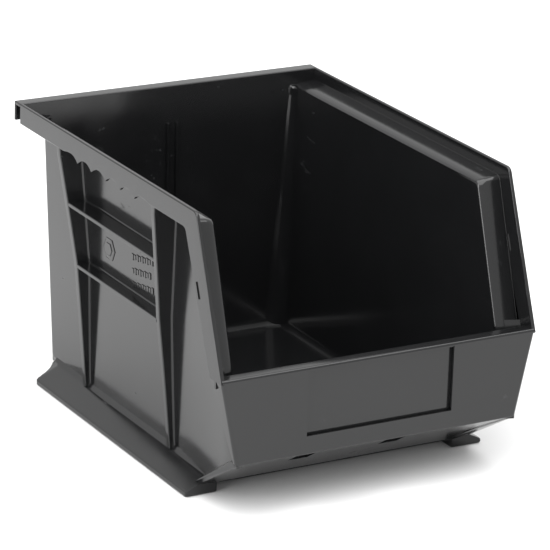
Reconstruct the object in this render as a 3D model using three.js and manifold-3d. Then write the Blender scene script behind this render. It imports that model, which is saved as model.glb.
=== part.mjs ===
// Hang-and-stack storage bin: one black polypropylene moulding, drawn as its separate
// named walls, ledges, ribs, rails and hanger. Millimetres, +Z up, the open front
// faces -Y, and the origin is on the ground under the middle of the bin.
import * as THREE from "three";
import { mergeVertices } from "three/addons/utils/BufferGeometryUtils.js";
import Module from "manifold-3d";

const wasm = await Module();
wasm.setup();

// Overall size.
const WIDTH = 209.6;
const LENGTH = 273;
const HEIGHT = 177.8;
const HALF_WIDTH = WIDTH / 2;
const BACK = LENGTH / 2;
const FRONT = -BACK;

// Wall stock, and the clearance left where two drawn pieces meet.
const WALL = 2.3;
const GAP = 0.3;

// Tub: the side and back walls lean out as they rise.
const FLOOR_UNDER = 5.8;
const FLOOR_THICK = 2.6;
const FLOOR_TOP = FLOOR_UNDER + FLOOR_THICK;
const WALL_FOOT = 8;
const SIDE_FOOT_X = 83.4;
const SIDE_DRAFT = 6 / 147;
const BACK_FOOT_Y = 127;
const BACK_DRAFT = 2.4 / 147;

// Stacking ledge and the rim that stands outside it.
const LEDGE_TOP = 168.9;
const RIM_UNDER = 165;
const RIM_INNER_X = HALF_WIDTH - WALL;
const SLOPE_TOP_Y = -101;
const LIP_TOP = 88.6;
const SLOPE_BAND = 15.6;
const LEDGE_BEND_Y = -92.4;
const LEDGE_END_Y = -119.8;
const LEDGE_END_Z = 86.4;

// Finger scallops under the side rims.
const SCALLOP_COUNT = 6;
const SCALLOP_PITCH = 18.3;
const SCALLOP_REAR_Y = 66.8;
const SCALLOP_CUSP_Z = 162.3;
const SCALLOP_CROWN_Z = 166.2;

// Window clip slot through the sloping rim.
const SLOT_Y = -106;
const SLOT_Z = 133;
const SLOT_LENGTH = 10;
const SLOT_WIDTH = 2.6;

// Front panel with its label recess, top lip and the ramp under it.
const PANEL_FOOT_Z = 34.8;
const PANEL_FOOT_X = 93.7;
const LABEL_HALF_WIDTH = 48.5;
const LABEL_FOOT_Z = 46.4;
const LABEL_DEPTH = 1.2;
const LIP_DEPTH = 8;
const LIP_DROP = 5;
const RAMP_REAR_Y = -89.9;
const RAMP_REAR_HALF = 80;
const RAMP_FRONT_HALF = 90;
const NOTCH_X = [-53, 7];
const NOTCH_WIDTH = 13;
const NOTCH_LENGTH = 8;
const NOTCH_TOP = 2.9;

// Rear hanger: a channel that hooks over a louvre.
const HANGER_PLATE = 2.3;
const HANGER_LIP = 2;
const HANGER_FOOT = 165.5;

// Base rails.
const RAIL_OUTER_X = 101;
const RAIL_INNER_X = 80.1;
const RAIL_TIP = 3;
const RAIL_ROOT = 10.8;
const RAIL_REAR_Y = 118;
const RAIL_CORNER = 9;
const RAIL_SEAT = 0.4;

// Side ribs and the grip shelves between them.
const RIB_THICK = 4.5;
const RIB_FOOT_Z = 12;
const RIB_FOOT_X = 86.6;
const RIB_KNEE_Z = 92;
const RIB_TOP_Z = RIM_UNDER - GAP;
const REAR_RIB_Y = { foot: 68.8, knee: 65.5, top: 73 };
const FRONT_RIB_Y = { foot: -42.6, knee: -42.4, top: -50.5 };
const SHELF_TOPS = [131.4, 92.6];
const SHELF_THICK = 2.5;

// Cheeks that flare from the side walls, ahead of the front ribs, out to the panel's edges.
const CHEEK_ROOT = 0.6;
const CHEEK_REAR_Y = [-90, -98, -92];
const CHEEK_REAR_Z = [12, 92, 140];
const CHEEK_FRONT_Z = [38.8, 88.6, 143];

// Webs that brace the panel's lower corners against the rails.
const WEB_OUTER_X = 96;
const WEB_TOP_X = 95;
const WEB_REAR_Z = { outer: 10.2, top: 11.8 };
const WEB_FRONT_Z = { inner: 33.3, outer: 33.8, top: 35.4 };

// Divider guides at mid width, on the back wall and inside the front panel.
const GUIDE_X = 3.2;
const GUIDE_THICK = 1.6;
const GUIDE_PROUD = 2;
const GUIDE_TOP = 154;

const BLACK = { color: 0x1b1c1d, roughness: 0.22, metalness: 0 };
const bin = new THREE.Group();

// Lean of the sloping front edge from upright.
const TILT = Math.atan2(SLOPE_TOP_Y - FRONT, HEIGHT - LIP_TOP);

// Outer faces of the drafted walls at height z.
const sideX = (z) => SIDE_FOOT_X + (z - WALL_FOOT) * SIDE_DRAFT;
const backY = (z) => BACK_FOOT_Y + (z - WALL_FOOT) * BACK_DRAFT;

// The value at z on the straight line from (z0, a) to (z1, b).
const between = (z, z0, a, z1, b) => a + (b - a) * (z - z0) / (z1 - z0);

// The sloping ledge's upper edge, the sloping rim's inner edge and the ribs' outer edge.
const rimCornerY = SLOPE_TOP_Y + HEIGHT - RIM_UNDER;
const ledgeY = (z) => between(z, LEDGE_END_Z, LEDGE_END_Y, LEDGE_TOP, LEDGE_BEND_Y);
const bandY = (z) => between(z, LIP_TOP, FRONT + SLOPE_BAND, RIM_UNDER, rimCornerY);
const ribX = (z) => between(z, RIB_FOOT_Z, RIB_FOOT_X, RIB_TOP_Z, HALF_WIDTH);

// A rib's front face, which leans one way below its knee and the other way above it.
function ribY(line, z) {
  if (z < RIB_KNEE_Z) {
    return between(z, RIB_FOOT_Z, line.foot, RIB_KNEE_Z, line.knee);
  }
  return between(z, RIB_KNEE_Z, line.knee, RIB_TOP_Z, line.top);
}

function add(name, geometry) {
  const mesh = new THREE.Mesh(geometry, new THREE.MeshStandardMaterial(BLACK));
  mesh.name = name;
  bin.add(mesh);
}

function shapeOf(points) {
  return new THREE.Shape(points.map(([u, v]) => new THREE.Vector2(u, v)));
}

function extrude(shape, depth) {
  return new THREE.ExtrudeGeometry(shape, { depth, bevelEnabled: false, curveSegments: 5 });
}

// A plate whose outline lies in Y and Z, from x = low to x = high.
function plateX(shape, low, high) {
  const turn = new THREE.Matrix4().set(0, 0, 1, low, 1, 0, 0, 0, 0, 1, 0, 0, 0, 0, 0, 1);
  return extrude(shape, high - low).applyMatrix4(turn);
}

// A plate whose outline lies in X and Z, from y = low to y = high.
function plateY(shape, low, high) {
  const turn = new THREE.Matrix4().set(1, 0, 0, 0, 0, 0, -1, high, 0, 1, 0, 0, 0, 0, 0, 1);
  return extrude(shape, high - low).applyMatrix4(turn);
}

// A plate whose outline lies in X and Y, from z = low to z = high.
function plateZ(shape, low, high) {
  return extrude(shape, high - low).translate(0, 0, low);
}

// Moves every corner of a geometry by a rule that takes and returns [x, y, z].
function bend(geometry, rule) {
  const at = geometry.attributes.position;
  for (let i = 0; i < at.count; i++) {
    at.setXYZ(i, ...rule([at.getX(i), at.getY(i), at.getZ(i)]));
  }
  geometry.computeVertexNormals();
  return geometry;
}

// A closed body through rows of four corners, each row listed going round. Facing sides
// are split along matching diagonals, so that a warped wall keeps its thickness.
function loft(rows) {
  const order = [];
  const last = 4 * (rows.length - 1);
  for (let i = 0; i < last; i += 4) {
    for (let k = 0; k < 4; k++) {
      const [a, b] = [i + k, i + (k + 1) % 4];
      const split = k < 2 ? [a, b, b + 4, a, b + 4, a + 4] : [a, b, a + 4, b, b + 4, a + 4];
      order.push(...split);
    }
  }
  order.push(0, 2, 1, 0, 3, 2, last, last + 1, last + 2, last, last + 2, last + 3);
  const geometry = new THREE.BufferGeometry();
  geometry.setAttribute("position", new THREE.Float32BufferAttribute(rows.flat(2), 3));
  geometry.setIndex(order);
  geometry.computeVertexNormals();
  return facingOut(geometry);
}

function volumeOf(geometry) {
  const at = geometry.attributes.position;
  const point = (i) => new THREE.Vector3().fromBufferAttribute(at, geometry.index.getX(i));
  let sum = 0;
  for (let i = 0; i < geometry.index.count; i += 3) {
    sum += point(i).dot(point(i + 1).cross(point(i + 2))) / 6;
  }
  return sum;
}

function facingOut(geometry) {
  if (volumeOf(geometry) > 0) {
    return geometry;
  }
  const order = Array.from(geometry.index.array);
  for (let i = 0; i < order.length; i += 3) {
    [order[i + 1], order[i + 2]] = [order[i + 2], order[i + 1]];
  }
  geometry.setIndex(order);
  geometry.computeVertexNormals();
  return geometry;
}

function toSolid(geometry) {
  const bare = geometry.clone();
  bare.deleteAttribute("normal");
  bare.deleteAttribute("uv");
  const merged = mergeVertices(bare, 1e-4);
  const vertProperties = new Float32Array(merged.attributes.position.array);
  const triVerts = new Uint32Array(merged.index.array);
  return new wasm.Manifold(new wasm.Mesh({ numProp: 3, vertProperties, triVerts }));
}

function fromSolid(solid) {
  const mesh = solid.getMesh();
  const geometry = new THREE.BufferGeometry();
  geometry.setAttribute("position", new THREE.BufferAttribute(mesh.vertProperties, 3));
  geometry.setIndex(new THREE.BufferAttribute(mesh.triVerts, 1));
  geometry.computeVertexNormals();
  return geometry;
}

function cut(body, ...tools) {
  return fromSolid(tools.reduce((solid, tool) => solid.subtract(toSolid(tool)), toSolid(body)));
}

function boxBetween([x0, y0, z0], [x1, y1, z1]) {
  const geometry = new THREE.BoxGeometry(x1 - x0, y1 - y0, z1 - z0);
  return geometry.translate((x0 + x1) / 2, (y0 + y1) / 2, (z0 + z1) / 2);
}

// Leans a side plate out with the draft of the side wall.
function leanSide(geometry, side) {
  return bend(geometry, ([x, y, z]) => [x + side * (z - WALL_FOOT) * SIDE_DRAFT, y, z]);
}

// Leans a back plate out with the draft of the back wall.
function leanBack(geometry) {
  return bend(geometry, ([x, y, z]) => [x, y + (z - WALL_FOOT) * BACK_DRAFT, z]);
}

function buildFloor() {
  const half = SIDE_FOOT_X - WALL - GAP;
  const rear = BACK_FOOT_Y - WALL - GAP;
  add("floor_pan", boxBetween([-half, RAMP_REAR_Y, FLOOR_UNDER], [half, rear, FLOOR_TOP]));
}

function buildBackWall() {
  const low = FLOOR_UNDER;
  const high = HEIGHT - HANGER_PLATE - GAP;
  const half = (z) => sideX(z) - WALL - GAP;
  const outline = shapeOf([[-half(low), low], [half(low), low], [half(high), high], [-half(high), high]]);
  add("back_wall", leanBack(plateY(outline, BACK_FOOT_Y - WALL, BACK_FOOT_Y)));
}

function buildRearHanger() {
  const root = backY(HEIGHT) - WALL;
  const outline = shapeOf([
    [root, HEIGHT - HANGER_PLATE],
    [BACK - HANGER_LIP, HEIGHT - HANGER_PLATE],
    [BACK - HANGER_LIP, HANGER_FOOT],
    [BACK, HANGER_FOOT],
    [BACK, HEIGHT],
    [root, HEIGHT],
  ]);
  add("rear_hanger", plateX(outline, -HALF_WIDTH, HALF_WIDTH));
}

function buildRamp() {
  const rear = RAMP_REAR_Y - GAP;
  const front = FRONT + WALL + GAP;
  const under = (y) => between(y, rear, FLOOR_UNDER, front - GAP, PANEL_FOOT_Z);
  const end = (y, half) => [
    [-half, y, under(y)],
    [half, y, under(y)],
    [half, y, under(y) + FLOOR_THICK],
    [-half, y, under(y) + FLOOR_THICK],
  ];
  const plate = loft([end(rear, RAMP_REAR_HALF), end(front, RAMP_FRONT_HALF)]);
  const top = under(front) - NOTCH_TOP;
  const notches = NOTCH_X.map((x) => boxBetween(
    [x, front - 1, top - NOTCH_LENGTH],
    [x + NOTCH_WIDTH, front + NOTCH_LENGTH, top],
  ));
  add("hopper_ramp", cut(plate, ...notches));
}

function buildFrontPanel() {
  const low = PANEL_FOOT_Z;
  const high = LIP_TOP - WALL - GAP;
  const half = (z) => between(z, low, PANEL_FOOT_X, LIP_TOP, HALF_WIDTH) - WALL - GAP;
  const outline = shapeOf([[-half(low), low], [half(low), low], [half(high), high], [-half(high), high]]);
  const recess = boxBetween(
    [-LABEL_HALF_WIDTH, FRONT - 1, LABEL_FOOT_Z],
    [LABEL_HALF_WIDTH, FRONT + LABEL_DEPTH, LIP_TOP],
  );
  add("front_label_panel", cut(plateY(outline, FRONT, FRONT + WALL), recess));
}

function buildFrontLip() {
  const inner = FRONT + LIP_DEPTH;
  const outline = shapeOf([
    [FRONT, LIP_TOP - WALL],
    [inner - WALL, LIP_TOP - WALL],
    [inner - WALL, LIP_TOP - WALL - LIP_DROP],
    [inner, LIP_TOP - WALL - LIP_DROP],
    [inner, LIP_TOP],
    [FRONT, LIP_TOP],
  ]);
  const half = sideX(LIP_TOP) - GAP;
  add("front_lip", plateX(outline, -half, half));
}

function buildSideWall(name, side) {
  const ledgeRoot = LEDGE_TOP - WALL - GAP;
  const outline = shapeOf([
    [BACK_FOOT_Y, WALL_FOOT + 1],
    [backY(ledgeRoot), ledgeRoot],
    [ledgeY(ledgeRoot), ledgeRoot],
    [LEDGE_END_Y, LEDGE_END_Z],
    [FRONT + LIP_DEPTH + GAP, LEDGE_END_Z - WALL],
    [FRONT + LIP_DEPTH + GAP, PANEL_FOOT_Z + 4],
    [RAMP_REAR_Y, WALL_FOOT + 1],
  ]);
  const low = side > 0 ? SIDE_FOOT_X - WALL : -SIDE_FOOT_X;
  add(`${name}_side_wall`, leanSide(plateX(outline, low, low + WALL), side));
}

function buildLedges(name, side) {
  const outer = side * (RIM_INNER_X - GAP);
  const strip = (root) => [Math.min(root, outer), Math.max(root, outer)];
  const [low, high] = strip(side * (sideX(LEDGE_TOP) - WALL));
  const rear = backY(LEDGE_TOP) - WALL - GAP;
  const level = boxBetween([low, LEDGE_BEND_Y + GAP, LEDGE_TOP - WALL], [high, rear, LEDGE_TOP]);
  add(`${name}_stacking_ledge`, level);
  const bendZ = LEDGE_TOP - WALL - GAP;
  const outline = shapeOf([
    [ledgeY(bendZ), bendZ],
    [LEDGE_END_Y, LEDGE_END_Z],
    [LEDGE_END_Y + WALL, LEDGE_END_Z],
    [ledgeY(bendZ) + WALL, bendZ],
  ]);
  add(`${name}_sloping_ledge`, plateX(outline, ...strip(side * (sideX(LEDGE_TOP) + GAP))));
}

function scallopedRim() {
  const outline = new THREE.Shape();
  const rear = backY(HEIGHT) - WALL - GAP;
  const crown = 2 * SCALLOP_CROWN_Z - SCALLOP_CUSP_Z;
  outline.moveTo(SLOPE_TOP_Y + GAP, HEIGHT);
  outline.lineTo(rimCornerY + GAP, RIM_UNDER);
  for (let i = SCALLOP_COUNT; i > 0; i--) {
    const from = SCALLOP_REAR_Y - i * SCALLOP_PITCH;
    const startZ = i === SCALLOP_COUNT ? RIM_UNDER : SCALLOP_CUSP_Z;
    const endZ = i === 1 ? RIM_UNDER : SCALLOP_CUSP_Z;
    outline.lineTo(from, startZ);
    outline.quadraticCurveTo(from + SCALLOP_PITCH / 2, crown, from + SCALLOP_PITCH, endZ);
  }
  outline.lineTo(rear, RIM_UNDER);
  outline.lineTo(rear, HEIGHT);
  return outline;
}

function slopingRim() {
  const outline = shapeOf([
    [SLOPE_TOP_Y, HEIGHT],
    [FRONT, LIP_TOP],
    [FRONT + SLOPE_BAND, LIP_TOP],
    [rimCornerY, RIM_UNDER],
  ]);
  const corners = [[-1, -1], [1, -1], [1, 1], [-1, 1]].map(([u, v]) => {
    const across = u * SLOT_WIDTH / 2;
    const along = v * SLOT_LENGTH / 2;
    const y = SLOT_Y + across * Math.cos(TILT) + along * Math.sin(TILT);
    return new THREE.Vector2(y, SLOT_Z - across * Math.sin(TILT) + along * Math.cos(TILT));
  });
  outline.holes.push(new THREE.Path(corners));
  return outline;
}

function buildRims(name, side) {
  const low = side > 0 ? RIM_INNER_X : -HALF_WIDTH;
  add(`${name}_rim`, plateX(scallopedRim(), low, low + WALL));
  add(`${name}_sloping_rim`, plateX(slopingRim(), low, low + WALL));
}

function buildCheek(name, side) {
  const rows = CHEEK_REAR_Z.map((rearZ, i) => {
    const frontZ = CHEEK_FRONT_Z[i];
    const rootX = sideX(rearZ) + GAP;
    const rootY = CHEEK_REAR_Y[i];
    const edgeX = i === 0 ? PANEL_FOOT_X : HALF_WIDTH;
    const edgeY = i === 0 ? FRONT + 2 * WALL - GAP : bandY(frontZ) + GAP;
    return [
      [side * (rootX + CHEEK_ROOT), rootY, rearZ],
      [side * edgeX, edgeY, frontZ],
      [side * (edgeX - WALL + 2 * GAP), edgeY, frontZ],
      [side * rootX, rootY, rearZ],
    ];
  });
  add(`${name}_front_cheek`, cut(loft(rows), ledgeRoom(side)));
}

// The sloping ledge's place with a gap behind it, which the cheek has to leave free.
function ledgeRoom(side) {
  const behind = WALL + GAP;
  const top = HEIGHT;
  const outline = shapeOf([
    [ledgeY(top), top],
    [ledgeY(PANEL_FOOT_Z), PANEL_FOOT_Z],
    [ledgeY(PANEL_FOOT_Z) + behind, PANEL_FOOT_Z],
    [ledgeY(top) + behind, top],
  ]);
  const [inner, outer] = [side * sideX(WALL_FOOT), side * (RIM_INNER_X - GAP)];
  return plateX(outline, Math.min(inner, outer), Math.max(inner, outer));
}

// The panel's side edge, turned back to meet the cheek.
function buildPanelReturn(name, side) {
  const end = (outerX, depth, z) => [
    [side * outerX, FRONT, z],
    [side * outerX, FRONT + depth, z],
    [side * (outerX - WALL), FRONT + depth, z],
    [side * (outerX - WALL), FRONT, z],
  ];
  const lowEnd = end(PANEL_FOOT_X, WALL + 1, PANEL_FOOT_Z + 1);
  const highEnd = end(HALF_WIDTH, SLOPE_BAND, LIP_TOP - GAP);
  add(`${name}_panel_return`, loft([lowEnd, highEnd]));
}

function buildCornerWeb(name, side) {
  const rear = RAMP_REAR_Y - GAP;
  const front = FRONT + WALL + 1;
  const inner = RAIL_INNER_X + GAP;
  const rearEnd = [
    [side * inner, rear, FLOOR_UNDER],
    [side * WEB_OUTER_X, rear, WEB_REAR_Z.outer],
    [side * WEB_TOP_X, rear, WEB_REAR_Z.top],
    [side * inner, rear, FLOOR_TOP],
  ];
  const frontEnd = [
    [side * (PANEL_FOOT_X - WALL), front, WEB_FRONT_Z.inner],
    [side * PANEL_FOOT_X, front, WEB_FRONT_Z.outer],
    [side * PANEL_FOOT_X, front, WEB_FRONT_Z.top],
    [side * (PANEL_FOOT_X - WALL), front, WEB_FRONT_Z.top],
  ];
  add(`${name}_corner_web`, loft([rearEnd, frontEnd]));
}

function buildRail(name, side) {
  const root = SIDE_FOOT_X + RAIL_SEAT;
  const profile = shapeOf([
    [side * RAIL_INNER_X, 0],
    [side * RAIL_OUTER_X, 0],
    [side * RAIL_OUTER_X, RAIL_TIP],
    [side * root, RAIL_ROOT],
    [side * root, FLOOR_UNDER - GAP],
    [side * RAIL_INNER_X, FLOOR_UNDER - GAP],
  ]);
  const bar = plateY(profile, RAMP_REAR_Y, RAIL_REAR_Y);
  const corner = shapeOf([
    [side * RAIL_OUTER_X, RAIL_REAR_Y - RAIL_CORNER],
    [side * (RAIL_OUTER_X + RAIL_CORNER), RAIL_REAR_Y + RAIL_CORNER],
    [side * (RAIL_OUTER_X - 2 * RAIL_CORNER), RAIL_REAR_Y],
  ]);
  add(`${name}_base_rail`, cut(bar, plateZ(corner, -1, RAIL_ROOT + 1)));
}

function buildRib(name, side, line) {
  const rows = [RIB_FOOT_Z, RIB_KNEE_Z, RIB_TOP_Z].map((z) => {
    const [inner, outer] = [side * (sideX(z) + GAP), side * ribX(z)];
    const [front, rear] = [ribY(line, z), ribY(line, z) + RIB_THICK];
    return [[inner, front, z], [outer, front, z], [outer, rear, z], [inner, rear, z]];
  });
  add(name, loft(rows));
}

function buildShelf(name, side, top) {
  const foot = top - SHELF_THICK;
  const rear = (z) => ribY(REAR_RIB_Y, z) - GAP;
  const front = (z) => ribY(FRONT_RIB_Y, z) + RIB_THICK + GAP;
  const end = (y, z) => [side * (sideX(z) + GAP), y, z];
  const tip = (y, z) => [side * (ribX(top) - GAP), y, z];
  const row = (z) => [end(front(z), z), tip(front(z), z), tip(rear(z), z), end(rear(z), z)];
  add(name, loft([row(foot), row(top)]));
}

function buildGuides(name, side) {
  const low = side * GUIDE_X - GUIDE_THICK / 2;
  const high = low + GUIDE_THICK;
  const wall = BACK_FOOT_Y - WALL;
  const rear = boxBetween([low, wall - GUIDE_PROUD, FLOOR_TOP + GAP], [high, wall - GAP, GUIDE_TOP]);
  add(`${name}_rear_divider_guide`, leanBack(rear));
  const panel = FRONT + WALL + GAP;
  const foot = PANEL_FOOT_Z + 2 * FLOOR_THICK;
  const front = boxBetween([low, panel, foot], [high, panel + GUIDE_PROUD, LIP_TOP - WALL - GAP]);
  add(`${name}_front_divider_guide`, front);
}

buildFloor();
buildBackWall();
buildRearHanger();
buildRamp();
buildFrontPanel();
buildFrontLip();
for (const [name, side] of [["left", -1], ["right", 1]]) {
  buildSideWall(name, side);
  buildLedges(name, side);
  buildRims(name, side);
  buildCheek(name, side);
  buildPanelReturn(name, side);
  buildCornerWeb(name, side);
  buildRail(name, side);
  buildRib(`${name}_rear_rib`, side, REAR_RIB_Y);
  buildRib(`${name}_front_rib`, side, FRONT_RIB_Y);
  buildShelf(`${name}_upper_grip_shelf`, side, SHELF_TOPS[0]);
  buildShelf(`${name}_lower_grip_shelf`, side, SHELF_TOPS[1]);
  buildGuides(name, side);
}

export default bin;
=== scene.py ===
# Hang-and-stack storage bin in glossy black polypropylene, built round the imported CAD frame.
# Shapes are written in millimetres in the CAD frame and scaled to metres when a mesh is made.
# Stage, lights and camera are in metres.
import math

import bmesh
import bpy
from mathutils import Matrix, Vector


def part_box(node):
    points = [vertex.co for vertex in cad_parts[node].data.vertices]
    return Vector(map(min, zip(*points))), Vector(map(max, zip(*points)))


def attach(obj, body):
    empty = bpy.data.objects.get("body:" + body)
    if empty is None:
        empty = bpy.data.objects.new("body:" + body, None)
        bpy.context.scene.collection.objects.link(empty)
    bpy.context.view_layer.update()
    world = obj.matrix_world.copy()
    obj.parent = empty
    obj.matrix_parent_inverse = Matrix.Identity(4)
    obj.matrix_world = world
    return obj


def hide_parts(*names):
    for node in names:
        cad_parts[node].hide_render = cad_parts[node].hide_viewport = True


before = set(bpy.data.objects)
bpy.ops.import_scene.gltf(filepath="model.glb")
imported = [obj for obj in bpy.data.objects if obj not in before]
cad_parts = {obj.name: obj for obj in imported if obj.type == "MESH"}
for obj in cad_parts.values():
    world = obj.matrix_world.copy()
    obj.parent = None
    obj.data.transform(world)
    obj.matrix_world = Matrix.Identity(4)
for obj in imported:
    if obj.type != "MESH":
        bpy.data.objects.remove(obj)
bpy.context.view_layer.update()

MM = 0.001


def span(node):
    """Lowest and highest corner of a CAD node, in millimetres."""
    low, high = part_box(node)
    return Vector(low) / MM, Vector(high) / MM


# ---------------------------------------------------------------- places from the frame
rim_low, rim_high = span("right_rim")
panel_low = span("front_label_panel")[0]
lip_low, lip_high = span("front_lip")
hanger_low, hanger_high = span("rear_hanger")
floor_low, floor_high = span("floor_pan")
ledge_low, ledge_high = span("right_stacking_ledge")
rail_low, rail_high = span("right_base_rail")
front_rib_low, front_rib_high = span("right_front_rib")
guide_low, guide_high = span("right_rear_divider_guide")

LIP_EXTRA = 1.6
RIM_GAP = 0.3
HALF_WIDTH = rim_high.x
RIM_INNER = rim_low.x
TOP = rim_high.z
FRONT = panel_low.y
BACK = hanger_high.y
WALL = HALF_WIDTH - RIM_INNER
LIP_TOP = lip_high.z
LIP_DEPTH = lip_high.y - lip_low.y + LIP_EXTRA
PANEL_FOOT = panel_low.z
FLOOR_UNDER = floor_low.z
FLOOR_TOP = floor_high.z
LEDGE = ledge_high.z
RAMP_REAR = rail_low.y
SLOPE_TOP_Y = rim_low.y - RIM_GAP

# ---------------------------------------------------------------- shape values
SIDE_FOOT_X = 83.4
WALL_FOOT = 8.0
DRAFT_RISE = 147
SIDE_DRAFT = 6 / DRAFT_RISE
BACK_FOOT_Y = 127.0
BACK_DRAFT = 2.4 / DRAFT_RISE
BACK_CORNER = 6.0
FOOT_ROUND = 7.4
FOOT_CORNER = 13.0
HEAD_CORNER = 4.2
FRONT_X = 90.8
FLARE_POWER = 1.6
WALL_BEHIND = 4.2
PANEL_BEHIND = 2.5
LEDGE_BEND = Vector((-92.4, LEDGE))
LEDGE_END = Vector((-119.8, 86.4))
RIM_UNDER = 165.0
SLOPE_BAND = 15.6
PANEL_FOOT_X = 93.7
LABEL_HALF = 48.5
LABEL_FOOT = 46.4
LABEL_DEPTH = 2.7
LIP_JOINT = 1.9
NOTCH_X = (-53.0, 7.0)
NOTCH_WIDTH = 13.0
NOTCH_LENGTH = 15.0
SCALLOPS = {"count": 6, "pitch": 18.3, "rear": 66.8, "cusp": 162.3, "crown": 166.2}
CLIP_SLOT = {"y": -106.0, "z": 133.0, "length": 10.0, "width": 2.6, "reach": 6}
RIB_THICK = 4.5
RIB_KNEE_Z = 92.0
RIB_FOOT_Z = 12.0
RIB_FOOT_REACH = 2.9
RIB_BOW = 0.9
RIB_LINES = {"rear": (68.8, 65.5, 73.0), "front": (-42.6, -42.4, -50.5)}
FILLET = 1.6
PIN_HOLE = (-95.0, 82.0)
PIN_RADIUS = 0.9
PIN_REACH = (78, 96)
MARK_START = Vector((8.0, 115.0))
MARK_STEP = 8.8
MARK_LEAN = 0.5
MARK_PITCH = 3.1
MARK_LENGTH = 2.1
MARK_TALL = 2.0
MARK_SHORTER = 0.5
MARK_ROWS = 3
MARK_COUNT = 9
PAD_PLACE = (38.0, 110.0)
PAD_RADII = (7.5, 4.6)
PAD_PROUD = 0.5
PAD_STEP = 0.45


def side_x(z):
    """Outer face of the side wall at height z."""
    return SIDE_FOOT_X + (z - WALL_FOOT) * SIDE_DRAFT


def back_y(z):
    """Outer face of the back wall at height z."""
    return BACK_FOOT_Y + (z - WALL_FOOT) * BACK_DRAFT


def between(t, t0, a, t1, b):
    """The straight line through (t0, a) and (t1, b), read at t."""
    return a + (b - a) * (t - t0) / (t1 - t0)


def clamp(t):
    """t held between 0 and 1."""
    return max(0.0, min(1.0, t))


def edge_x(z):
    """Half width of the front panel at height z."""
    return between(z, PANEL_FOOT, PANEL_FOOT_X, LIP_TOP, HALF_WIDTH)


def rib_x(z):
    """Half width at the tip of a side rib at height z."""
    return between(z, RIB_FOOT_Z, front_rib_low.x + RIB_FOOT_REACH, front_rib_high.z, HALF_WIDTH)


def rib_y(line, z):
    """Front face of a side rib, which bends at its knee, at height z."""
    foot, knee, top = RIB_LINES[line]
    if z < RIB_KNEE_Z:
        return between(z, RIB_FOOT_Z, foot, RIB_KNEE_Z, knee)
    return between(z, RIB_KNEE_Z, knee, front_rib_high.z, top)


def wall_front(z):
    """Where the side wall stops, going forward, at height z."""
    if z < PANEL_FOOT:
        return between(z, FLOOR_UNDER, RAMP_REAR, PANEL_FOOT, FRONT + PANEL_BEHIND)
    slope_foot, slope_head = LEDGE_END.x + WALL_BEHIND, LEDGE_BEND.x + WALL_BEHIND
    if z < LEDGE_END.y:
        return between(z, PANEL_FOOT, FRONT + PANEL_BEHIND, LEDGE_END.y, slope_foot)
    return between(z, LEDGE_END.y, slope_foot, LEDGE, slope_head)


def wall_x(y, z):
    """Outer face of the side wall, which flares a little ahead of the front rib."""
    start = RIB_LINES["front"][1]
    t = clamp((start - y) / (start - LEDGE_END.x))
    return side_x(z) + (FRONT_X - side_x(z)) * t ** FLARE_POWER


# ---------------------------------------------------------------- mesh helpers
def arc(centre, radius, start, end, steps):
    """Points on an arc; angles in degrees, both ends included."""
    points = []
    for i in range(steps + 1):
        a = math.radians(start + (end - start) * i / steps)
        points.append((centre[0] + radius * math.cos(a), centre[1] + radius * math.sin(a)))
    return points


def new_object(name, bm):
    """Turns a bmesh into an object in the scene."""
    bmesh.ops.remove_doubles(bm, verts=bm.verts, dist=1e-6)
    bmesh.ops.recalc_face_normals(bm, faces=bm.faces)
    mesh = bpy.data.meshes.new(name)
    bm.to_mesh(mesh)
    bm.free()
    piece = bpy.data.objects.new(name, mesh)
    bpy.context.scene.collection.objects.link(piece)
    return piece


def loft(name, rings):
    """A capped skin through closed rings of (x, y, z) points in millimetres."""
    bm = bmesh.new()
    rows = [[bm.verts.new(Vector(p) * MM) for p in ring] for ring in rings]
    count = len(rows[0])
    for a, b in zip(rows, rows[1:]):
        for i in range(count):
            j = (i + 1) % count
            bm.faces.new((a[i], a[j], b[j], b[i]))
    bm.faces.new(rows[0])
    bm.faces.new(list(reversed(rows[-1])))
    return new_object(name, bm)


def apply_modifiers(piece):
    """Bakes the piece's modifiers into its mesh."""
    bpy.context.view_layer.update()
    graph = bpy.context.evaluated_depsgraph_get()
    mesh = bpy.data.meshes.new_from_object(piece.evaluated_get(graph))
    piece.modifiers.clear()
    old = piece.data
    piece.data = mesh
    bpy.data.meshes.remove(old)
    return piece


def solidify(piece, thickness):
    """Thickens a skin inwards, in millimetres."""
    shell = piece.modifiers.new("wall", "SOLIDIFY")
    shell.thickness = thickness * MM
    shell.offset = -1
    shell.use_even_offset = True
    return apply_modifiers(piece)


def cut(piece, *tools):
    """Takes each tool's volume out of the piece and removes the tool."""
    for tool in tools:
        hole = piece.modifiers.new("cut", "BOOLEAN")
        hole.operation = "DIFFERENCE"
        hole.solver = "EXACT"
        hole.object = tool
        apply_modifiers(piece)
        bpy.data.objects.remove(tool)
    return piece


def round_edges(piece, radius, segments=3, angle=40):
    """Bevels edges steeper than the angle, by a radius in millimetres."""
    bevel = piece.modifiers.new("edges", "BEVEL")
    bevel.width = radius * MM
    bevel.segments = segments
    bevel.limit_method = "ANGLE"
    bevel.angle_limit = math.radians(angle)
    bevel.use_clamp_overlap = True
    return apply_modifiers(piece)


def smooth(piece, angle=30):
    """Smooth shading, with edges steeper than the angle kept sharp."""
    piece.data.shade_smooth()
    bm = bmesh.new()
    bm.from_mesh(piece.data)
    for edge in bm.edges:
        edge.smooth = len(edge.link_faces) == 2 and edge.calc_face_angle(0) < math.radians(angle)
    bm.to_mesh(piece.data)
    bm.free()
    return piece


def block(name, low, high):
    """A plain box between two corners."""
    def corners(z):
        return [(low[0], low[1], z), (high[0], low[1], z),
                (high[0], high[1], z), (low[0], high[1], z)]
    return loft(name, [corners(low[2]), corners(high[2])])


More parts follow.
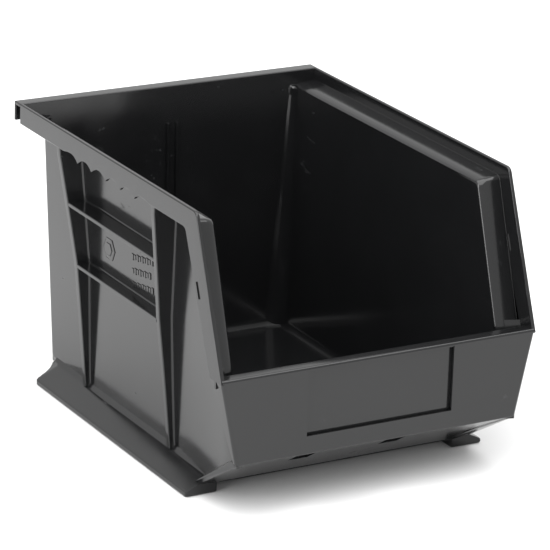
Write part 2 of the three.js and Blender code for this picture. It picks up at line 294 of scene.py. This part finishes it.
def finish_piece(piece, material, *nodes):
    """Gives a piece its normals and material, parents it to the root body, and hides the CAD nodes it
    stands for.
    """
    keep = piece.modifiers.new("normals", "WEIGHTED_NORMAL")
    keep.keep_sharp = True
    keep.weight = 80
    piece.data.materials.clear()
    piece.data.materials.append(material)
    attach(piece, "root")
    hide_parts(*nodes)
    return piece


def mirrored(points, side):
    """Points written for the right side (+1), flipped over for the left side (-1)."""
    return [(side * x, y, z) for x, y, z in points]


# ---------------------------------------------------------------- material
BLACK = (0.0054, 0.0055, 0.0058, 1)
WORN_BLACK = (0.020, 0.021, 0.022, 1)
CLOUD_TONE = 0.16
WORN_TONE = 0.5
WORN_ROUGHNESS = 0.22


def plastic():
    """Glossy black moulded polypropylene, a little wavy, with fine scuffs."""
    material = bpy.data.materials.new("black_polypropylene_gloss")
    material.use_nodes = True
    nodes, links = material.node_tree.nodes, material.node_tree.links
    shader = nodes["Principled BSDF"]
    shader.inputs["IOR"].default_value = 1.5
    place = nodes.new("ShaderNodeTexCoord")

    def noise(scale, detail, stretch=(1, 1, 1)):
        mapping = nodes.new("ShaderNodeMapping")
        mapping.inputs["Scale"].default_value = stretch
        links.new(place.outputs["Object"], mapping.inputs["Vector"])
        texture = nodes.new("ShaderNodeTexNoise")
        texture.inputs["Scale"].default_value = scale
        texture.inputs["Detail"].default_value = detail
        links.new(mapping.outputs["Vector"], texture.inputs["Vector"])
        return texture.outputs["Fac"]

    def ramp(value, low, high, start, end):
        change = nodes.new("ShaderNodeMapRange")
        change.inputs["From Min"].default_value = low
        change.inputs["From Max"].default_value = high
        change.inputs["To Min"].default_value = start
        change.inputs["To Max"].default_value = end
        links.new(value, change.inputs["Value"])
        return change.outputs["Result"]

    def maths(operation, a, b):
        node = nodes.new("ShaderNodeMath")
        node.operation = operation
        for socket, value in zip(node.inputs, (a, b)):
            if isinstance(value, float):
                socket.default_value = value
            else:
                links.new(value, socket)
        return node.outputs["Value"]

    cloud = noise(scale=26, detail=3)
    scratches = noise(scale=240, detail=4, stretch=(1, 0.25, 1))
    scuff = ramp(scratches, low=0.62, high=0.72, start=0, end=1)
    patch = ramp(noise(scale=34, detail=2), low=0.56, high=0.66, start=0, end=1)
    worn = maths("MULTIPLY", scuff, patch)
    base_rough = ramp(cloud, low=0.3, high=0.7, start=0.10, end=0.17)
    rough = maths("ADD", base_rough, maths("MULTIPLY", worn, WORN_ROUGHNESS))
    links.new(rough, shader.inputs["Roughness"])
    # A Mix node in colour mode: socket 0 is the factor, 6 and 7 are the colours, output 2 is the mix.
    tone = nodes.new("ShaderNodeMix")
    tone.data_type = "RGBA"
    tone.inputs[6].default_value = BLACK
    tone.inputs[7].default_value = WORN_BLACK
    lighter = (maths("MULTIPLY", cloud, CLOUD_TONE), maths("MULTIPLY", worn, WORN_TONE))
    links.new(maths("ADD", *lighter), tone.inputs[0])
    links.new(tone.outputs[2], shader.inputs["Base Color"])
    wave = nodes.new("ShaderNodeBump")
    wave.inputs["Strength"].default_value = 0.05
    wave.inputs["Distance"].default_value = 0.002
    links.new(noise(scale=22, detail=1), wave.inputs["Height"])
    grain = nodes.new("ShaderNodeBump")
    grain.inputs["Strength"].default_value = 0.03
    grain.inputs["Distance"].default_value = 0.0002
    links.new(noise(scale=1500, detail=2), grain.inputs["Height"])
    links.new(wave.outputs["Normal"], grain.inputs["Normal"])
    links.new(grain.outputs["Normal"], shader.inputs["Normal"])
    return material


# ---------------------------------------------------------------- tub
FLARE_STEPS = 14
SIDE_STEPS = 6
CORNER_STEPS = 8


def wall_row(z, inset):
    """One open U of points round the tub: left wall, back wall, right wall."""
    level = max(z, WALL_FOOT)
    half = side_x(level) - inset
    rear = back_y(level) - inset
    radius = BACK_CORNER
    start = wall_front(z)
    rib = RIB_LINES["front"][1]
    left = []
    for i in range(FLARE_STEPS + 1):
        y = start + (rib - start) * i / FLARE_STEPS
        left.append((-(wall_x(y, level) - inset), y, z))
    for i in range(1, SIDE_STEPS + 1):
        y = rib + (rear - radius - rib) * i / SIDE_STEPS
        left.append((-half, y, z))
    bend = arc((-half + radius, rear - radius), radius, 180, 90, CORNER_STEPS)
    left += [(x, y, z) for x, y in bend[1:]]
    right = [(-x, y, zz) for x, y, zz in reversed(left)]
    return left + right


def pin_hole(side):
    """A small round hole through a side wall near the mouth."""
    circle = arc(PIN_HOLE, PIN_RADIUS, 0, 345, 23)
    return loft("pin", [[(side * x, y, z) for y, z in circle] for x in PIN_REACH])


def build_tub(material):
    """Floor, side walls and the whole back wall as one shell of even thickness."""
    round_steps, foot_steps, wall_steps, slope_steps = 8, 4, 6, 8
    under_ledge, over_ledge, under_top = 1.5, 2.5, 1.2
    behind_rim = 0.6
    rows = []
    for i in range(round_steps + 1):
        a = math.radians(90 * i / round_steps)
        z = FLOOR_UNDER + FOOT_ROUND * (1 - math.cos(a))
        rows.append(wall_row(z, FOOT_ROUND * (1 - math.sin(a))))
    foot = FLOOR_UNDER + FOOT_ROUND
    high = LEDGE - under_ledge
    heights = []
    for low, top, steps in ((foot, PANEL_FOOT, foot_steps), (PANEL_FOOT, LEDGE_END.y, wall_steps),
                            (LEDGE_END.y, high, slope_steps)):
        heights += [low + (top - low) * i / steps for i in range(1, steps + 1)]
    rows += [wall_row(z, 0) for z in heights]
    bm = bmesh.new()
    grid = [[bm.verts.new(Vector(p) * MM) for p in row] for row in rows]
    for a, b in zip(grid, grid[1:]):
        for i in range(len(a) - 1):
            bm.faces.new((a[i], a[i + 1], b[i + 1], b[i]))
    count = len(grid[0])
    for i in range(count // 2 - 1):
        j = count - 1 - i
        bm.faces.new((grid[0][i], grid[0][j], grid[0][j - 1], grid[0][i + 1]))
    middle = count // 2
    ends = [grid[-1][middle - 1], grid[-1][middle]]
    outer = [bm.verts.new(Vector((side * (RIM_INNER + behind_rim), back_y(high), high)) * MM)
             for side in (-1, 1)]
    below = [outer[0], *ends, outer[1]]
    for z in (LEDGE + over_ledge, TOP - under_top):
        above = [bm.verts.new((v.co.x, back_y(z) * MM, z * MM)) for v in below]
        for i in range(3):
            bm.faces.new((below[i], below[i + 1], above[i + 1], above[i]))
        below = above
    tub = new_object("tub_shell", bm)
    flat = [f for f in tub.data.polygons if abs(f.normal.z) > 0.99]
    if flat[0].normal.z > 0:
        tub.data.flip_normals()
    solidify(tub, WALL)
    cut(tub, *[pin_hole(side) for side in (-1, 1)])
    smooth(tub, 35)
    finish_piece(tub, material, "floor_pan", "back_wall", "left_side_wall", "right_side_wall",
                 "left_front_cheek", "right_front_cheek")


def build_corner(material, name, side):
    """Inside corner of the tub, rounder towards the floor."""
    steps = 12
    under_floor, under_ledge = 0.6, 0.4
    sunk, bury = 0.15, 0.6
    rings = []
    for i in range(steps + 1):
        z = between(i, 0, FLOOR_TOP - under_floor, steps, LEDGE - under_ledge)
        radius = between(z, FLOOR_TOP, FOOT_CORNER, LEDGE, HEAD_CORNER)
        half, rear = side_x(z) - WALL + sunk, back_y(z) - WALL + sunk
        ring = [(half - radius, rear + bury), (half + bury, rear + bury), (half + bury, rear - radius)]
        ring += arc((half - radius, rear - radius), radius, 0, 90, 12)
        rings.append(mirrored([(x, y, z) for x, y in ring], side))
    corner = loft(f"{name}_inside_corner", rings)
    smooth(corner, 35)
    finish_piece(corner, material)


def build_hanger(material):
    """The folded channel behind the back wall."""
    lip_thick, top_thick = 2.0, 2.3
    root = back_y(TOP) - WALL
    lip = hanger_high.y - lip_thick
    shape = [
        (root, TOP - top_thick), (lip, TOP - top_thick), (lip, hanger_low.z), (BACK, hanger_low.z),
        (BACK, TOP), (root, TOP),
    ]
    ends = (-HALF_WIDTH, HALF_WIDTH)
    hanger = loft("rear_hanger_channel", [[(x, y, z) for y, z in shape] for x in ends])
    round_edges(hanger, 0.8)
    smooth(hanger)
    finish_piece(hanger, material, "rear_hanger")


def ramp_notches():
    """Blocks that cut the two small notches where the ramp meets the panel's lower edge."""
    rear, front = Vector((RAMP_REAR, FLOOR_UNDER)), Vector((FRONT, PANEL_FOOT))
    along = (front - rear).normalized()
    below = Vector((-along.y, along.x))
    reach = (front - rear).length
    outside, inside = -6, 4
    rear_end, outside_end, inside_end = reach - NOTCH_LENGTH, reach + 0.2, reach - 0.9
    corners = [(rear_end, outside), (outside_end, outside), (inside_end, inside), (rear_end, inside)]
    outline = [rear + along * s - below * t for s, t in corners]
    blocks = []
    for x in NOTCH_X:
        ends = (x, x + NOTCH_WIDTH)
        blocks.append(loft("notch", [[(across, *point) for point in outline] for across in ends]))
    return blocks


def build_ramp(material):
    """The sloped plate between the floor and the front panel's foot."""
    rear = (RAMP_REAR + 0.5, FLOOR_UNDER)
    front = (FRONT + 1.4, PANEL_FOOT + 0.2)
    thick = 2.6
    margin = 1.5

    def ring(point, half):
        y, z = point
        return [(-half, y, z), (half, y, z), (half, y, z + thick), (-half, y, z + thick)]
    ramp = loft("hopper_ramp_plate",
                [ring(rear, side_x(WALL_FOOT) - margin), ring(front, PANEL_FOOT_X - margin)])
    cut(ramp, *ramp_notches())
    smooth(ramp)
    finish_piece(ramp, material, "hopper_ramp")


# ---------------------------------------------------------------- front panel
def return_depth(z):
    """How far the panel's side edges turn back at height z."""
    return between(z, PANEL_FOOT, WALL + 1, LIP_TOP, SLOPE_BAND)


def panel_ring(z, inset):
    """Plan section of the panel and its returned side edges at height z, inset from the outer face."""
    depth = return_depth(z)
    edge = edge_x(z)
    round_outer = 2.4
    outer = [(-edge + inset, FRONT + depth)]
    outer += arc((-edge + round_outer, FRONT + round_outer), round_outer - inset, 180, 270, 6)
    outer += [(-x, y) for x, y in reversed(outer)]
    round_inner = 0.6
    wall = WALL + inset
    inner = [(-edge + wall, FRONT + depth)]
    inner += arc((-edge + wall + round_inner, FRONT + wall + round_inner), round_inner, 180, 270, 4)
    inner += [(-x, y) for x, y in reversed(inner)]
    return [(x, y, z) for x, y in outer + list(reversed(inner))]


def build_panel(material):
    """Front panel with its label recess, and the backing that closes the recess."""
    soft = 1.4
    soft_steps, face_steps = 4, 6
    rows = []
    for i in range(soft_steps + 1):
        a = math.radians(90 * i / soft_steps)
        rows.append(panel_ring(PANEL_FOOT + soft * (1 - math.cos(a)), soft * (1 - math.sin(a))))
    face = LIP_TOP - LIP_JOINT - PANEL_FOOT - soft
    rows += [panel_ring(PANEL_FOOT + soft + face * i / face_steps, 0) for i in range(1, face_steps + 1)]
    panel = loft("front_panel", rows)
    margin, overlap = 2, 0.6
    low = (-LABEL_HALF, FRONT - margin, LABEL_FOOT)
    high = (LABEL_HALF, FRONT + LABEL_DEPTH, LIP_TOP - 2.0)
    backing = block("label_backing", (low[0] - margin, FRONT + WALL - overlap, low[2] - margin),
                    (high[0] + margin, FRONT + LABEL_DEPTH + WALL, LIP_TOP - 2.4))
    for body in (panel, backing):
        cut(body, block("label", low, high))
    cut(panel, *ramp_notches())
    smooth(backing)
    finish_piece(backing, material)
    smooth(panel)
    finish_piece(panel, material, "front_label_panel", "left_panel_return", "right_panel_return")


def build_lip(material):
    """The lip folded back over the top of the front panel."""
    outer, inner = FRONT, FRONT + LIP_DEPTH
    base = LIP_TOP - 2.6
    joint = LIP_TOP - LIP_JOINT
    drop = LIP_TOP - 7
    step, thick, side_gap = 0.5, 2.0, 0.4
    outer_round, inner_round, inner_fall = 1.7, 2.2, 0.2
    shape = [(outer + step, base), (outer + step, joint), (outer, joint)]
    shape += arc((outer + outer_round, LIP_TOP - outer_round), outer_round, 180, 90, 6)
    shape += arc((inner - inner_round, LIP_TOP - inner_round - inner_fall), inner_round, 84, 0, 6)
    shape += [(inner, drop), (inner - thick, drop), (inner - thick, base)]
    half = HALF_WIDTH - side_gap
    lip = loft("front_lip_fold", [[(x, y, z) for y, z in shape] for x in (-half, half)])
    smooth(lip, 35)
    finish_piece(lip, material, "front_lip")


def build_flange(material, name, side):
    """Closes the gap between the side wall's front end and the panel's returned edge."""
    steps = 5
    below, above = 1, 1.2
    wall_overlap, edge_gap, return_overlap = 0.5, 0.3, 0.2
    thick, far_thick, near_thick = 2.0, 2.2, 2.6
    rings = []
    for i in range(steps + 1):
        z = between(i, 0, PANEL_FOOT - below, steps, LIP_TOP + above)
        y = wall_front(z) + wall_overlap
        x = wall_x(y, z)
        edge = min(edge_x(z), HALF_WIDTH) - edge_gap
        far = FRONT + return_depth(z) - return_overlap
        ring = [(x - thick, y, z), (x, y, z), (edge, far, z), (edge, far - far_thick, z),
                (x - thick, y - near_thick, z)]
        rings.append(mirrored(ring, side))
    flange = loft(f"{name}_cheek_flange", rings)
    smooth(flange)
    finish_piece(flange, material)


# ---------------------------------------------------------------- rims and ledges
def scallop(y):
    """Lower edge of the skirt at y: shallow arches between downward cusps."""
    first = SCALLOPS["rear"] - SCALLOPS["count"] * SCALLOPS["pitch"]
    if y < first or y > SCALLOPS["rear"]:
        return RIM_UNDER
    t = (y - first) / SCALLOPS["pitch"]
    arch = math.sin(math.pi * (t - math.floor(t))) ** 0.8
    edge = SCALLOPS["cusp"] + (SCALLOPS["crown"] - SCALLOPS["cusp"]) * arch
    near_end = min(t, SCALLOPS["count"] - t)
    if near_end < 0.5:
        return RIM_UNDER + (SCALLOPS["crown"] - RIM_UNDER) * arch
    return edge


class Line:
    """An edge that runs level from the back and then straight down the slope."""

    def __init__(self, level, slope_from, slope_to, offset=0.0):
        direction = (slope_to - slope_from).normalized()
        normal = Vector((direction.y, -direction.x))
        self.a = slope_from + normal * offset
        self.b = slope_to + normal * offset
        self.level = level

    def slope_at(self, z):
        return between(z, self.a.y, self.a.x, self.b.y, self.b.x)

    def corner(self):
        return Vector((self.slope_at(self.level), self.level))


# Each slope as a pair of (y, z) points, from its top to its foot.
RIM_EDGE = (Vector((SLOPE_TOP_Y, TOP)), Vector((FRONT, LIP_TOP)))
LEDGE_EDGE = (LEDGE_BEND, LEDGE_END)
BAND_EDGE = (Vector((SLOPE_TOP_Y + TOP - RIM_UNDER, RIM_UNDER)), Vector((FRONT + SLOPE_BAND, LIP_TOP)))
LEDGE_TILT = 0.115
RIM_END_Z = LIP_TOP - 2.4
EDGE_FILLET = 0.15
LEDGE_ROUND = Vector((5.5, 2.6))
ROUND_END = 6.0
ROUNDED_END_WIDTH = 4
LEDGE_FLAT = 3
LEDGE_THICK = 2.3
LEDGE_DEEP = 7.0
RIM_ROUND = 0.8
SKIRT_ROUND = 0.7
SECTION_BEND = 3.2
END_STATIONS = 12
END_SHARE = 0.03
LEVEL_STATIONS = 190
BEND_STATIONS = 8
SLOPE_STATIONS = 12


def rim_line(x, depth):
    """An edge of the rim at x, a depth below its top."""
    return x, Line(TOP - depth, *RIM_EDGE, offset=-depth), None


def ledge_line(x, height):
    """An edge of the ledge at x. Its upper side tilts, and its underside stays level."""
    lift = LEDGE_TILT * max(0.0, x - ledge_low.x - LEDGE_FLAT) if height > -2 else 0.0
    return x, Line(LEDGE + height + lift, *LEDGE_EDGE, offset=height), None


def skirt_line(x, up):
    """An edge of the skirt at x, a height above its scalloped lower edge."""
    return x, Line(RIM_UNDER + up, *BAND_EDGE, offset=up), up


def section_lines():
    """The closed section of ledge, rim and skirt as edges that each run along the bin."""
    inner = side_x(LEDGE) - WALL
    outer = inner + WALL
    soft, turn = RIM_ROUND, SKIRT_ROUND
    lines = [ledge_line(inner, -LEDGE_DEEP)]
    for across, down in arc((1, -1), 1, 180, 90, 8):
        lines.append(ledge_line(inner + across * LEDGE_ROUND.x, down * LEDGE_ROUND.y))
    lines.append(ledge_line(RIM_INNER - EDGE_FILLET, 0.0))
    for x, h in arc((RIM_INNER - EDGE_FILLET, EDGE_FILLET), EDGE_FILLET, 270, 360, 4)[1:]:
        lines.append(ledge_line(x, h))
    for x, d in arc((RIM_INNER + soft, soft), soft, 180, 270, 4):
        lines.append(rim_line(x, d))
    for x, d in arc((HALF_WIDTH - soft, soft), soft, 270, 360, 4):
        lines.append(rim_line(x, d))
    lines.append(skirt_line(HALF_WIDTH, turn))
    for x, u in arc((HALF_WIDTH - turn, turn), turn, 0, -90, 3)[1:]:
        lines.append(skirt_line(x, u))
    for x, u in arc((RIM_INNER + turn, turn), turn, -90, -180, 3):
        lines.append(skirt_line(x, u))
    for x, height in ((RIM_INNER, -LEDGE_THICK), (outer + 1.2, -LEDGE_THICK), (outer, -3.5),
                      (outer, -LEDGE_DEEP)):
        lines.append(ledge_line(x, height))
    return lines


def build_rim(material, name, side):
    """Ledge, rim and scalloped skirt of one side, swept from the back wall to the front."""
    lines = section_lines()
    rear = back_y(TOP) - WALL + 0.2
    inner = side_x(LEDGE) - WALL
    bend = SECTION_BEND
    stations = [("level", END_SHARE * (i / END_STATIONS) ** 2) for i in range(END_STATIONS)]
    for i in range(LEVEL_STATIONS + 1):
        stations.append(("level", END_SHARE + (1 - END_SHARE) * i / LEVEL_STATIONS))
    stations += [("bend", i / BEND_STATIONS) for i in range(1, BEND_STATIONS)]
    stations += [("slope", i / SLOPE_STATIONS) for i in range(SLOPE_STATIONS + 1)]
    rings = []
    for kind, t in stations:
        ring = []
        for x, line, skirt in lines:
            corner = line.corner()
            down = (line.b - line.a).normalized()
            start = corner + Vector((bend, 0))
            leave = corner + down * bend
            foot = Vector((max(line.slope_at(RIM_END_Z), FRONT + 0.3), RIM_END_Z))
            if kind == "level":
                y = rear + (start.x - rear) * t
                z = line.level
                if skirt is not None:
                    z = scallop(y) + skirt
                point = (y, z)
                near = clamp((y - (rear - ROUND_END)) / ROUND_END)
                if near > 0 and x < inner + ROUNDED_END_WIDTH:
                    x = x - ROUND_END * (1 - math.sqrt(1 - near * near))
            elif kind == "bend":
                point = tuple(start.lerp(corner, t).lerp(corner.lerp(leave, t), t))
            else:
                point = tuple(leave.lerp(foot, t))
            ring.append((side * x, point[0], point[1]))
        rings.append(ring)
    rim = loft(f"{name}_rim_and_ledge", rings)
    tilt = math.atan2(SLOPE_TOP_Y - FRONT, TOP - LIP_TOP)
    reach, wide, tall = CLIP_SLOT["reach"], CLIP_SLOT["width"] / 2, CLIP_SLOT["length"] / 2
    hole = block("slot", (-reach, -wide, -tall), (reach, wide, tall))
    place = Matrix.Translation(Vector((side * HALF_WIDTH, CLIP_SLOT["y"], CLIP_SLOT["z"])) * MM)
    hole.data.transform(place @ Matrix.Rotation(-tilt, 4, "X"))
    cut(rim, hole)
    smooth(rim, 32)
    finish_piece(rim, material, f"{name}_stacking_ledge", f"{name}_sloping_ledge", f"{name}_rim",
                 f"{name}_sloping_rim")


# ---------------------------------------------------------------- ribs, shelves and rails
def fin_section(root, tip, low, high, soft=0.7):
    """Section of a rib, with a fillet on both faces at its root and a rounded tip.
    Returns (x, across) pairs, with x measured out from the bin's middle."""
    bury = 0.8
    turns = [math.radians(18 * i) for i in range(1, 6)]
    points = [(root - bury, low - FILLET), (root, low - FILLET)]
    points += [(root + FILLET - FILLET * math.cos(a), low - FILLET + FILLET * math.sin(a))
               for a in turns]
    points += arc((tip - soft, low + soft), soft, 270, 360, 4)
    points += arc((tip - soft, high - soft), soft, 0, 90, 4)
    points += [(root + FILLET - FILLET * math.cos(a), high + FILLET - FILLET * math.sin(a))
               for a in reversed(turns)]
    points += [(root, high + FILLET), (root - bury, high + FILLET)]
    return points


def build_rib(material, name, side, line):
    """A tall rib on the outside of a side wall, bowed in a little at mid height."""
    steps = 30
    below, above = 1.5, 1
    edge_gap, least_reach = 0.4, 2.6
    rings = []
    rise = front_rib_high.z + above - RIB_FOOT_Z + below
    heights = [RIB_FOOT_Z - below + i * rise / steps for i in range(steps + 1)]
    for z in heights:
        front = rib_y(line, z)
        root, tip = side_x(z), min(rib_x(z), HALF_WIDTH - edge_gap)
        share = clamp((z - RIB_FOOT_Z) / (front_rib_high.z - RIB_FOOT_Z))
        tip = max(tip - RIB_BOW * math.sin(math.pi * share), root + least_reach)
        section = fin_section(root, tip, front, front + RIB_THICK)
        rings.append(mirrored([(x, y, z) for x, y in section], side))
    rib = loft(f"{name}_{line}_side_rib", rings)
    smooth(rib, 35)
    finish_piece(rib, material, f"{name}_{line}_rib")


def build_shelf(material, name, side, level):
    """A level grip shelf between the two ribs."""
    node_low, node_high = span(f"{name}_{level}_grip_shelf")
    top, foot = node_high.z, node_low.z
    steps = 8
    overlap = 0.6
    rings = []
    front = rib_y("front", top) + RIB_THICK - overlap
    rear = rib_y("rear", top) + overlap
    section = fin_section(side_x((top + foot) / 2), rib_x(top) - RIB_BOW, foot, top, soft=0.6)
    for i in range(steps + 1):
        y = front + (rear - front) * i / steps
        rings.append(mirrored([(x, y, z) for x, z in section], side))
    shelf = loft(f"{name}_{level}_shelf", rings)
    smooth(shelf, 35)
    finish_piece(shelf, material, f"{name}_{level}_grip_shelf")


def build_rail(material, name, side):
    """The rail under a side wall, blended into the wall and tapered at its rear end."""
    outer, inner = rail_high.x, rail_low.x
    root = side_x(WALL_FOOT) - 0.6
    crown = rail_high.z
    soft = 0.9
    section = [(inner, FLOOR_UNDER + 1)]
    section += arc((inner + soft, soft), soft, 180, 270, 4)
    section += arc((outer - soft, soft), soft, 270, 360, 4)
    section += [(outer, 2.6), (outer - 0.5, 3.2), (outer - 1.4, 3.7)]
    section += [(root + 3.4, crown - 0.9), (root + 1.8, crown + 0.2)]
    section += [(root + 0.9, crown + 2.2), (root, crown + 2.6)]
    section += [(root - 1.2, crown + 2.6), (root - 1.2, FLOOR_UNDER + 1)]
    front, rear = rail_low.y, rail_high.y
    nose_long, tail_long, taper_long = 1.2, 10.8, 9
    nose_narrow, nose_lift = 0.35, 0.5
    middle = rear - front - nose_long - tail_long
    stations = [front, front + 0.5, front + nose_long]
    stations += [front + nose_long + middle * i / 10 for i in range(1, 11)]
    stations += [rear - tail_long + tail_long * i / 8 for i in range(1, 9)]
    rings = []
    for y in stations:
        back = clamp((y - (rear - taper_long)) / taper_long)
        limit = outer - (outer - root - 1.0) * (1 - math.cos(back * math.pi / 2)) ** 0.75
        nose = clamp(1 - (y - front) / nose_long)
        ring = []
        for x, z in section:
            narrow = nose_narrow if x < (inner + outer) / 2 else -nose_narrow
            px = (min(x, limit) if x > root else x) + narrow * nose
            pz = z + nose_lift * nose if z < soft else z
            ring.append((px, y, pz))
        rings.append(mirrored(ring, side))
    rail = loft(f"{name}_foot_rail", rings)
    smooth(rail, 40)
    finish_piece(rail, material, f"{name}_base_rail")


def build_web(material, name, side):
    """The facet that braces the panel's lower corner against the front of the rail."""
    points = [
        (95.2, RAMP_REAR, 9.4), (93.2, RAMP_REAR, 6.9), (80.0, RAMP_REAR, FLOOR_UNDER),
        (PANEL_FOOT_X, FRONT + 0.6, PANEL_FOOT + 0.2), (PANEL_FOOT_X + 0.2, FRONT + 6, PANEL_FOOT + 1.6),
        (84.2, RAMP_REAR, 15.0), (80.0, RAMP_REAR, 9.0), (89.5, FRONT + 8, PANEL_FOOT + 3),
        (PANEL_FOOT_X - 6, FRONT + 2, PANEL_FOOT + 1), (76.0, -110.0, 18.3),
    ]
    bm = bmesh.new()
    for point in mirrored(points, side):
        bm.verts.new(Vector(point) * MM)
    hull = bmesh.ops.convex_hull(bm, input=bm.verts)
    spare = [v for v in hull["geom_interior"] if isinstance(v, bmesh.types.BMVert)]
    bmesh.ops.delete(bm, geom=spare, context="VERTS")
    web = new_object(f"{name}_corner_facet", bm)
    round_edges(web, 0.5, 2, 30)
    smooth(web)
    finish_piece(web, material, f"{name}_corner_web")


def build_guides(material, name, side):
    """Divider guides: one on the back wall, one hidden behind the label backing."""
    middle = side * (guide_low.x + guide_high.x) / 2
    wide = (guide_high.x - guide_low.x) / 2
    bury, proud, proud_end = 0.5, 2.0, 1.4
    top = guide_high.z
    rings = []
    for z in (FLOOR_TOP - 0.5, FLOOR_TOP + 4, top - 1.2, top - 0.3, top):
        root = back_y(z) - WALL + bury
        tip = root - (proud if z < top - 0.2 else proud_end)
        ring = [(middle - wide, root), (middle - wide, tip)]
        ring += arc((middle, tip), wide, 180, 360, 5)[1:-1]
        ring += [(middle + wide, tip), (middle + wide, root)]
        rings.append([(x, y, z) for x, y in ring])
    rear = loft(f"{name}_rear_guide", rings)
    smooth(rear, 35)
    finish_piece(rear, material, f"{name}_rear_divider_guide")
    face = FRONT + LABEL_DEPTH + WALL
    front = block(f"{name}_front_guide", (middle - wide, face - 0.4, PANEL_FOOT + 4),
                  (middle + wide, face + 1.6, LIP_TOP - 3))
    smooth(front)
    finish_piece(front, material, f"{name}_front_divider_guide")


def raised(name, outline, side, material, proud=0.5):
    """A low raised shape on the outside of a side wall; outline in (y, z)."""
    middle = Vector((sum(y for y, _ in outline), sum(z for _, z in outline))) / len(outline)
    bury, shoulder, taper = 0.4, 0.6, 0.88
    rings = []
    for height, scale in ((-bury, 1.0), (proud * shoulder, 1.0), (proud, taper)):
        ring = []
        for y, z in outline:
            point = middle + (Vector((y, z)) - middle) * scale
            ring.append((side * (side_x(point.y) + height), point.x, point.y))
        rings.append(ring)
    shape = loft(name, rings)
    smooth(shape)
    finish_piece(shape, material)


def build_marks(material, name, side):
    """Plain raised dashes and a six-sided pad between the grip shelves, in place of lettering."""
    for row in range(MARK_ROWS):
        count = MARK_COUNT - row % 2
        for i in range(count):
            drop = MARK_STEP * row - MARK_LEAN * i
            y, z = MARK_START.x - MARK_PITCH * i, MARK_START.y - drop
            tall = MARK_TALL - MARK_SHORTER * ((i + row) % 2)
            end = y - MARK_LENGTH
            outline = [(y, z - tall), (end, z - tall), (end, z + tall), (y, z + tall)]
            raised(f"{name}_dash_{row + 1}_{i + 1}", outline, side, material)
    for ring, radius in enumerate(PAD_RADII):
        outline = arc(PAD_PLACE, radius, 0, 300, 5)
        raised(f"{name}_pad_{ring + 1}", outline, side, material, PAD_PROUD + PAD_STEP * ring)


# ---------------------------------------------------------------- stage, light, camera
SKY = 1.0
FLOOR_TONE = (0.72, 0.72, 0.72)
FLOOR_HALF = 9.0
FLOOR_DROP = 0.0002
CAMERA_PLACE = (-0.99768, -1.74796, 0.79850)
CAMERA_TURN = {"azimuth": -29.85, "tilt": -19.31, "roll": 1.93}
CAMERA_LENS = 231.3
# Sizes and places in metres; glow is the radiance of the softbox.
SOFTBOXES = {
    "overhead_softbox": {"size": (5.0, 5.0), "glow": 3.0, "place": (-0.5, -0.6, 3.0)},
    "side_softbox": {"size": (1.1, 1.6), "glow": 6.5, "place": (-2.4, -1.0, 0.95)},
}


def plain_material(name, colour):
    material = bpy.data.materials.new(name)
    material.use_nodes = True
    shader = material.node_tree.nodes["Principled BSDF"]
    shader.inputs["Base Color"].default_value = (*colour, 1)
    shader.inputs["Roughness"].default_value = 1.0
    shader.inputs["Specular IOR Level"].default_value = 0.0
    return material


def build_stage():
    bm = bmesh.new()
    half = FLOOR_HALF
    corners = [(-half, -half), (half, -half), (half, half), (-half, half)]
    bm.faces.new([bm.verts.new((x, y, -FLOOR_DROP)) for x, y in corners])
    floor = new_object("studio_floor", bm)
    floor.data.materials.append(plain_material("studio_white", FLOOR_TONE))


def build_light():
    world = bpy.data.worlds.new("studio")
    bpy.context.scene.world = world
    world.use_nodes = True
    back = world.node_tree.nodes["Background"]
    back.inputs["Color"].default_value = (1, 1, 1, 1)
    back.inputs["Strength"].default_value = SKY
    for name, spec in SOFTBOXES.items():
        data = bpy.data.lights.new(name, "AREA")
        data.shape = "RECTANGLE"
        data.size, data.size_y = spec["size"]
        data.energy = spec["glow"] * math.pi * data.size * data.size_y
        softbox = bpy.data.objects.new(name, data)
        aim = Vector(spec["place"]) - Vector((0, 0, 0.1))
        softbox.rotation_euler = aim.to_track_quat("Z", "Y").to_euler()
        softbox.location = spec["place"]
        bpy.context.scene.collection.objects.link(softbox)


def build_camera():
    """The camera at the viewing angle fitted to the photograph."""
    azimuth, tilt, roll = (math.radians(CAMERA_TURN[a]) for a in ("azimuth", "tilt", "roll"))
    ahead = Vector((-math.sin(azimuth) * math.cos(tilt), math.cos(azimuth) * math.cos(tilt),
                    math.sin(tilt)))
    right = ahead.cross(Vector((0, 0, 1))).normalized()
    up = right.cross(ahead)
    across = right * math.cos(roll) + up * math.sin(roll)
    upward = up * math.cos(roll) - right * math.sin(roll)
    data = bpy.data.cameras.new("camera")
    data.sensor_width = 36.0
    data.lens = CAMERA_LENS
    data.clip_end = 50
    camera = bpy.data.objects.new("camera", data)
    bpy.context.scene.collection.objects.link(camera)
    turn = Matrix((across, upward, -ahead)).transposed().to_4x4()
    camera.matrix_world = Matrix.Translation(Vector(CAMERA_PLACE)) @ turn
    bpy.context.scene.camera = camera


build_camera()
build_stage()
build_light()
black = plastic()
build_tub(black)
build_hanger(black)
build_ramp(black)
build_panel(black)
build_lip(black)
for name, side in (("left", -1), ("right", 1)):
    build_flange(black, name, side)
    build_corner(black, name, side)
    build_rim(black, name, side)
    build_rail(black, name, side)
    build_rib(black, name, side, "rear")
    build_rib(black, name, side, "front")
    build_shelf(black, name, side, "upper")
    build_shelf(black, name, side, "lower")
    build_web(black, name, side)
    build_guides(black, name, side)
build_marks(black, "left", -1)

bpy.context.scene.view_settings.view_transform = "Standard"
bpy.context.scene.cycles.max_bounces = 8
